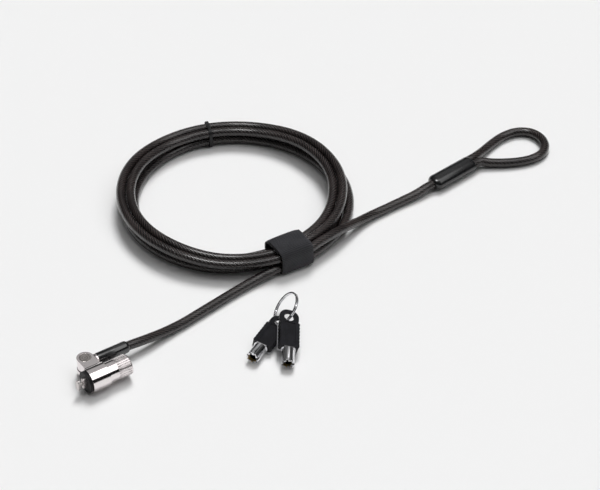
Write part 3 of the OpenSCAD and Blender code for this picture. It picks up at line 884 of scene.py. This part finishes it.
class LOCK_OT_stage(bpy.types.Operator):
    """Camera, floor, lamps and the room's light"""

    bl_idname = "lock.stage"
    bl_label = "Stage"

    def execute(self, context):
        stage = context.scene.lock_stage
        self.add_camera(context, stage)
        self.add_floor(stage)
        self.add_lamps(stage)
        self.add_room()
        context.scene.view_settings.view_transform = "Standard"
        return {"FINISHED"}

    def add_camera(self, context, stage):
        """The camera, set round the middle of the parts."""
        flat = math.cos(stage.elevation)
        back = Vector(
            (
                math.sin(stage.azimuth) * flat,
                -math.cos(stage.azimuth) * flat,
                math.sin(stage.elevation),
            )
        )
        data = bpy.data.cameras.new("camera")
        data.lens = stage.lens
        data.sensor_width = 36.0
        data.sensor_fit = "HORIZONTAL"
        data.clip_end = 20.0
        camera = bpy.data.objects.new("camera", data)
        context.scene.collection.objects.link(camera)
        camera.location = VIEW_CENTRE + stage.distance * back
        camera.rotation_euler = (-back).to_track_quat("-Z", "Y").to_euler()
        context.scene.camera = camera

    def add_floor(self, stage):
        """A wide matte floor."""
        deselect()
        bpy.ops.mesh.primitive_plane_add(size=12.0, location=(0.1, 0.05, 0.0))
        floor = bpy.context.object
        floor.name = "floor"
        apply_place(floor)
        s = new_shader("floor")
        grain = s.noise(s.place(), 900, 2.0)
        tint = tuple(c * 0.99 for c in stage.floor_colour)
        dress(
            floor,
            s.surface(
                Base_Color=s.mix(grain, stage.floor_colour, tint),
                Roughness=0.85,
                Specular_IOR_Level=0.2,
            ),
        )

    def add_lamps(self, stage):
        """A main lamp high behind, a broad one above, and one for highlights only."""
        lamps = (
            ("lamp_key", (0.40, 0.42, 0.82), stage.key_power, stage.key_angle, False),
            ("lamp_dome", (0.10, 0.22, 1.0), stage.dome_power, stage.dome_angle, False),
            ("lamp_glint", (-0.12, 0.05, 1.0), stage.glint_power, stage.glint_angle, True),
        )
        for name, place, power, softness, mirrored in lamps:
            data = bpy.data.lights.new(name, "SUN")
            data.energy = power
            data.angle = softness
            lamp = bpy.data.objects.new(name, data)
            bpy.context.scene.collection.objects.link(lamp)
            lamp.location = place
            aim = -Vector(place)
            lamp.rotation_euler = aim.to_track_quat("-Z", "Y").to_euler()
            lamp.visible_glossy = mirrored
            lamp.visible_diffuse = not mirrored

    def add_room(self):
        """Studio: a long bright panel at the side, a ceiling light and dim walls."""
        world = bpy.data.worlds.new("room")
        bpy.context.scene.world = world
        s = Shader(world)
        side, depth, height = s.split(s.place("Generated"))
        # Brightness from the horizon up: of the panel, of the wall opposite, of the rest
        panel = (
            (0.0, 0.885),
            (0.02, 0.62),
            (0.08, 0.60),
            (0.13, 0.008),
            (0.56, 0.008),
            (0.60, 2.0),
            (1.0, 2.0),
        )
        walls = (
            (0.0, 0.885),
            (0.02, 0.12),
            (0.30, 0.03),
            (0.45, 0.10),
            (0.56, 0.42),
            (1.0, 0.42),
        )
        dim = ((0.0, 0.885), (0.02, 0.10), (0.5, 0.03), (0.7, 0.12), (1.0, 0.15))
        up = (height.clamp(),)
        front = s.node("ShaderNodeValToRGB", {"stops": panel}, up)
        back = s.node("ShaderNodeValToRGB", {"stops": walls}, up)
        rest = s.node("ShaderNodeValToRGB", {"stops": dim}, up)
        beam = s.span(side, 0.26, 0.34) * s.span(side, 0.62, 0.54)
        level = s.mix(beam, rest, s.mix(s.span(depth, 0.20, 0.06), back, front))
        ceiling = s.span(height, 0.93, 0.97) * s.span(side, 0.36, 0.26)
        room = s.node("ShaderNodeBackground", {}, (level, ceiling * 9.0 + 1.0))
        s.node("ShaderNodeOutputWorld", {}, {"Surface": room})


class LOCK_OT_cable(bpy.types.Operator):
    """The jacketed cable with its coil, and the eye loop"""

    bl_idname = "lock.cable"
    bl_label = "Cable"

    def execute(self, context):
        cable = context.scene.lock_cable
        coil = context.scene.lock_coil
        jacket = cable_material(cable)
        d = cable.diameter
        cover = bpy.data.objects.get("ferrule_moulding")
        if cover is None:
            raise RuntimeError("Model the fittings before the cable.")

        path, total = flowing(cable_points(coil, cable), cable.ring_step)
        main = tube("cable", path, d / 2, cable.sides)
        dress(main, jacket)
        settle(
            main,
            "cable",
            "cable_jacket",
            "lock_side_cable",
            "cable_coil",
            "eye_side_cable",
        )

        reach = context.scene.lock_fittings.cover_length
        points = (
            [
                cover_place(reach - EYE_DEPTH, -STRAND_OFFSET),
                cover_place(reach + d, -STRAND_OFFSET),
            ]
            + metres(LOOP_ROUTE)
            + [
                cover_place(reach + d, STRAND_OFFSET),
                cover_place(reach - EYE_DEPTH, STRAND_OFFSET),
            ]
        )
        path, total = flowing(points, cable.ring_step)
        loop = tube("eye", path, d / 2, cable.sides)
        dress(loop, jacket)
        settle(loop, "cable", "cable_jacket", "eye_loop")
        return {"FINISHED"}


class LOCK_OT_fittings(bpy.types.Operator):
    """The boot at the lock and the ferrule's cover at the eye"""

    bl_idname = "lock.fittings"
    bl_label = "Fittings"

    def execute(self, context):
        fittings = context.scene.lock_fittings
        colour_value = fittings.gloss_colour
        self.add_boot(gloss_black("boot_black", colour_value, 1.6))
        self.add_cover(fittings, gloss_black("cover_black", colour_value, 1.4))
        return {"FINISHED"}

    def add_boot(self, gloss):
        """The moulded sleeve over the cable's end at the lock."""
        r = (BOOT_HIGH.z - BOOT_LOW.z) / 2
        run = BOOT_HIGH.x - BOOT_LOW.x
        profile = [
            (0, 1.6 * MM),
            (0, r - 0.45 * MM),
            (0.14 * MM, r - 0.14 * MM),
            (0.5 * MM, r),
            (run - 1.5 * MM, r),
            (run - 0.8 * MM, r - 0.14 * MM),
            (run - 0.25 * MM, r - 0.45 * MM),
            (run, r - 0.85 * MM),
            (run - 0.5 * MM, 2.0 * MM),
            (0, 1.6 * MM),
        ]
        boot = turned("boot_moulding", profile)
        put(boot, Matrix.Translation((BOOT_LOW.x, PIVOT.y, PIVOT.z)))
        activate(boot)
        bpy.ops.object.shade_smooth_by_angle(angle=math.radians(50))
        dress(boot, gloss)
        settle(boot, "cable", "gloss_black", "cable_boot")

    def add_cover(self, fittings, gloss):
        """An oblong body drawn from a circle, with drafted and rounded ends."""
        deselect()
        half_h = fittings.cover_height / 2
        half_w = fittings.cover_width / 2
        reach = fittings.cover_length
        bpy.ops.mesh.primitive_circle_add(
            vertices=48,
            radius=half_h,
            fill_type="NOTHING",
            rotation=(0, math.pi / 2, 0),
        )
        cover = bpy.context.object
        cover.name = cover.data.name = "ferrule_moulding"
        apply_place(cover)
        for vert in cover.data.vertices:
            vert.co.y *= half_w / half_h
            flat = abs(vert.co.y) / half_w
            vert.co.z *= 1 + 0.10 * flat * flat * (1 - flat)
        stations = (
            (0.0, 0.62, 0.72),
            (0.0003, 0.72, 0.80),
            (0.0008, 0.82, 0.87),
            (0.0015, 0.92, 0.94),
            (0.0024, 0.98, 0.985),
            (0.0034, 1.0, 1.0),
            (reach - 0.0016, 1.0, 1.0),
            (reach - 0.0008, 0.985, 0.98),
            (reach - 0.0003, 0.955, 0.945),
            (reach, 0.90, 0.88),
        )
        bpy.ops.object.mode_set(mode="EDIT")
        bpy.ops.mesh.select_all(action="SELECT")
        x0, w0, h0 = stations[0]
        bpy.ops.transform.resize(value=(1, w0, h0), center_override=(0, 0, 0))
        for x1, w1, h1 in stations[1:]:
            bpy.ops.mesh.extrude_edges_move(
                TRANSFORM_OT_translate={"value": (x1 - x0, 0, 0)}
            )
            bpy.ops.transform.resize(
                value=(1, w1 / w0, h1 / h0), center_override=(x1, 0, 0)
            )
            x0, w0, h0 = x1, w1, h1
        bpy.ops.object.mode_set(mode="OBJECT")
        cap_ends(cover)
        clean(cover)
        turn = Matrix.Rotation(COVER_ANGLE, 4, "Z")
        put(cover, Matrix.Translation(COVER_START) @ turn)
        activate(cover)
        bpy.ops.object.shade_smooth_by_angle(angle=math.radians(38))
        dress(cover, gloss)
        settle(cover, "cable", "gloss_black", "ferrule_cover")


class LOCK_OT_strap(bpy.types.Operator):
    """The fabric strap and the thin tie round the coil"""

    bl_idname = "lock.strap"
    bl_label = "Strap and Tie"

    def execute(self, context):
        strap = context.scene.lock_strap
        coil = context.scene.lock_coil
        cable = context.scene.lock_cable
        self.add_strap(strap, coil, cable)
        self.add_tie(strap, coil, cable)
        return {"FINISHED"}

    def rounded_way(self, low, high, corner):
        """A band's way once round a bundle: a box with round corners, from its top."""
        (x0, y0), (x1, y1) = low, high
        centres = (
            (x1 - corner, y1 - corner, 90),
            (x1 - corner, y0 + corner, 0),
            (x0 + corner, y0 + corner, -90),
            (x0 + corner, y1 - corner, 180),
        )
        way = []
        for cx, cy, start in centres:
            for k in range(CORNER_POINTS):
                a = math.radians(start - 90 * k / (CORNER_POINTS - 1))
                way.append((cx + corner * math.cos(a), cy + corner * math.sin(a)))
        return way

    def strap_way(self, strap, coil, cable):
        """The strap's way round the bundle, with its end lapped over the top."""
        t = strap.thickness
        pitch = cable.diameter + coil.turn_gap
        outer = cable.diameter / 2 + STRAP_SIDE + t / 2
        inner = coil.turns / 2 * pitch + cable.diameter / 2 + STRAP_ROOM + t / 2
        top = STRAP_LIFT + cable.diameter + pitch + STRAP_GAP + t / 2
        bottom = t / 2 + STRAP_FLOOR
        way = [(STRAP_START, top)]
        way += self.rounded_way((-outer, bottom), (inner, top), STRAP_CORNER)
        way = way[:-CORNER_POINTS]
        lap = t + LAP_GAP
        cx, cy = -outer + LAP_CORNER, top - LAP_CORNER
        for k in range(LAP_POINTS):
            a = math.radians(180 - 90 * k / (LAP_POINTS - 1))
            grow = lap * smooth_step(k / LAP_EASE)
            x = cx + (LAP_CORNER + grow * 0.4) * math.cos(a)
            way.append((x, cy + (LAP_CORNER + grow) * math.sin(a)))
        way += [(inner - back, top + lap + rise) for back, rise in LAP_ENDS]
        return [Vector((x, y, 0)) for x, y in way]

    def add_strap(self, strap, coil, cable):
        """The woven strap where both ends leave the coil."""
        path, total = flowing(self.strap_way(strap, coil, cable), STRAP_STEP)
        base = coil_point(0, coil, cable)
        turn = Matrix.Rotation(coil.start_angle + math.pi / 2, 4, "Z")
        stand = Matrix.Translation((base.x, base.y, 0)) @ turn
        rows = []
        for i, point in enumerate(path):
            ahead = path[min(i + 1, len(path) - 1)] - path[max(i - 1, 0)]
            normal = Vector((-ahead.y, ahead.x, 0)).normalized()
            row = []
            for k in range(STRAP_COLUMNS + 1):
                across = k / STRAP_COLUMNS - 0.5
                curl = -EDGE_CURL * (2 * across) ** 6
                sway = CLOTH_SWAY * math.sin(i * 0.35 + across * 4)
                place = point + normal * (curl + sway)
                row.append(stand @ Vector((strap.width * across, place.x, place.y)))
            rows.append(row)
        obj = ribbon("strap_cloth", rows, size=(strap.width, total))
        apply_modifier(
            obj,
            "SOLIDIFY",
            thickness=strap.thickness,
            offset=0.0,
            use_even_offset=True,
        )
        apply_modifier(
            obj,
            "BEVEL",
            width=STRAP_EDGE,
            segments=2,
            limit_method="ANGLE",
            angle_limit=math.radians(60),
        )
        clean(obj)
        activate(obj)
        bpy.ops.object.shade_smooth_by_angle(angle=math.radians(60))
        dress(obj, strap_material(strap))
        settle(obj, "cable", "strap_fabric", "coil_strap", "strap_overlap")

    def add_tie(self, strap, coil, cable):
        """The thin band round the far side of the coil."""
        pitch = cable.diameter + coil.turn_gap
        middle = coil.radius - pitch * coil.turns / 4
        t = strap.tie_thickness
        reach = cable.diameter / 2 + pitch / 2 + TIE_SIDE + t / 2
        top = TIE_LIFT + cable.diameter + pitch + TIE_GAP + t / 2
        bottom = t / 2 + TIE_FLOOR
        way = self.rounded_way((-reach, bottom), (reach, top), TIE_CORNER)
        points = [Vector((x, y, 0)) for x, y in way]
        points.append(points[0])
        path, _ = flowing(points, TIE_STEP)
        turn = Matrix.Rotation(coil.tie_angle, 4, "Z")
        stand = Matrix.Translation(COIL_CENTRE) @ turn
        rows = []
        for point in path[:-1]:
            row = []
            for k in range(TIE_COLUMNS + 1):
                across = (k / TIE_COLUMNS - 0.5) * strap.tie_width
                row.append(stand @ Vector((middle + point.x, across, point.y)))
            rows.append(row)
        obj = ribbon("tie_band", rows, joined=True)
        apply_modifier(obj, "SOLIDIFY", thickness=t, offset=0.0)
        round_edges(obj, t * 0.3, 2, 50)
        dress(obj, matte_black("tie_plastic", (0.015, 0.015, 0.016), 2200, 0.42))
        settle(obj, "cable", "tie_plastic", "coil_tie")


class LOCK_OT_head(bpy.types.Operator):
    """The lock head: housing, grip, nose, T-bar, swivel, pivot and cable anchor"""

    bl_idname = "lock.head"
    bl_label = "Lock Head"

    def execute(self, context):
        lock = context.scene.lock_head
        keys = context.scene.lock_keys
        chrome = plated("chrome", lock.chrome_colour, 0.07, 0.16)
        satin = plated("satin_steel", lock.satin_colour, 0.24, 0.38, 0.5)
        grip = plated("grip_chrome", lock.grip_colour, 0.24, 0.34, 0.3)
        cap = turned_steel("cap_steel", lock.cap_colour, PIVOT)
        steel = plated("steel", (0.62, 0.61, 0.60), 0.2, 0.34, 0.4)
        nose = matte_black("nose_black", lock.nose_colour, 2400, 0.5)
        metal = brass(keys.brass_colour)
        w = lock.edge_round
        refined("swivel_ring", "swivel", chrome, "chrome", 2 * w, 3)
        refined("pivot_cap", "swivel", cap, "chrome", w)
        refined("lock_housing", "lock", chrome, "chrome", w)
        refined("knurled_grip", "lock", grip, "chrome", 0.5 * w)
        refined("nose_washer", "lock", nose, "nose_black", 2 * w, 3)
        refined("locator_plate", "lock", satin, "satin_steel", w)
        refined("t_bar", "plug", satin, "satin_steel", 1.5 * w, 3)
        refined("centre_post", "plug", satin, "satin_steel", w)
        refined("cable_anchor", "cable", chrome, "chrome", 1.5 * w, 3)
        inside = {
            "pin_chamber": metal,
            "lock_plug": metal,
            "driver_pins": metal,
            "key_pins": metal,
            "chamber_dowel": steel,
            "pin_springs": steel,
            "pivot_pin": steel,
            "rope_end": steel,
            "eye_crimp": plated("aluminium", (0.7, 0.7, 0.71), 0.3, 0.45, 0.3),
        }
        for node, material in inside.items():
            dress(frame["nodes"][node], material)
        return {"FINISHED"}


class LOCK_OT_keys(bpy.types.Operator):
    """The two tubular keys and their ring"""

    bl_idname = "lock.keys"
    bl_label = "Keys and Ring"

    def execute(self, context):
        keys = context.scene.lock_keys
        lock = context.scene.lock_head
        head = matte_black("key_black", keys.head_colour, 2600, 0.42)
        chrome = bpy.data.materials["chrome"]
        steel = bpy.data.materials["steel"]
        metal = bpy.data.materials["brass"]
        for key in ("key_1", "key_2"):
            refined(f"{key}_head", key, head, "key_black", keys.edge_round, 3, 40)
            refined(f"{key}_back_plate", key, steel, "steel", lock.edge_round)
            barrel = refined(f"{key}_barrel", key, chrome, "chrome", lock.edge_round)
            # The head's black material doubles as painted shade deep in the bore.
            line_bore_with_painted_shade(barrel, f"{key}_head", keys.bore, keys.mouth, (metal, head))
        refined("key_ring", "ring", chrome, "steel", 0.00012)
        return {"FINISHED"}


class LOCK_PT_panel(bpy.types.Panel):
    """A button for each step, with its settings"""

    bl_idname = "LOCK_PT_panel"
    bl_label = "Laptop Cable Lock"
    bl_space_type = "VIEW_3D"
    bl_region_type = "UI"
    bl_category = "Cable Lock"

    def draw(self, context):
        for operator, group in STEPS:
            box = self.layout.box()
            box.operator(operator.bl_idname)
            settings = getattr(context.scene, group)
            for name in settings.bl_rna.properties.keys():
                if name not in {"rna_type", "name"}:
                    box.prop(settings, name)


GROUPS = {
    "lock_cable": CableSettings,
    "lock_coil": CoilSettings,
    "lock_strap": StrapSettings,
    "lock_fittings": FittingSettings,
    "lock_head": LockSettings,
    "lock_keys": KeySettings,
    "lock_stage": StageSettings,
}
STEPS = (
    (LOCK_OT_stage, "lock_stage"),
    (LOCK_OT_fittings, "lock_fittings"),
    (LOCK_OT_cable, "lock_cable"),
    (LOCK_OT_strap, "lock_strap"),
    (LOCK_OT_head, "lock_head"),
    (LOCK_OT_keys, "lock_keys"),
)


def register():
    for group in GROUPS.values():
        bpy.utils.register_class(group)
    for operator, _ in STEPS:
        bpy.utils.register_class(operator)
    bpy.utils.register_class(LOCK_PT_panel)
    for name, group in GROUPS.items():
        setattr(bpy.types.Scene, name, PointerProperty(type=group))


def unregister():
    for name in GROUPS:
        delattr(bpy.types.Scene, name)
    bpy.utils.unregister_class(LOCK_PT_panel)
    for operator, _ in reversed(STEPS):
        bpy.utils.unregister_class(operator)
    for group in reversed(list(GROUPS.values())):
        bpy.utils.unregister_class(group)


def corners(box):
    """A box as plain lists of numbers."""
    return [[float(x) for x in corner] for corner in box]


def main():
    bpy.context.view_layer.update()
    register()
    for operator, _ in STEPS:
        group, name = operator.bl_idname.split(".")
        getattr(getattr(bpy.ops, group), name)()
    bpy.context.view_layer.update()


if __name__ == "__main__":
    main()
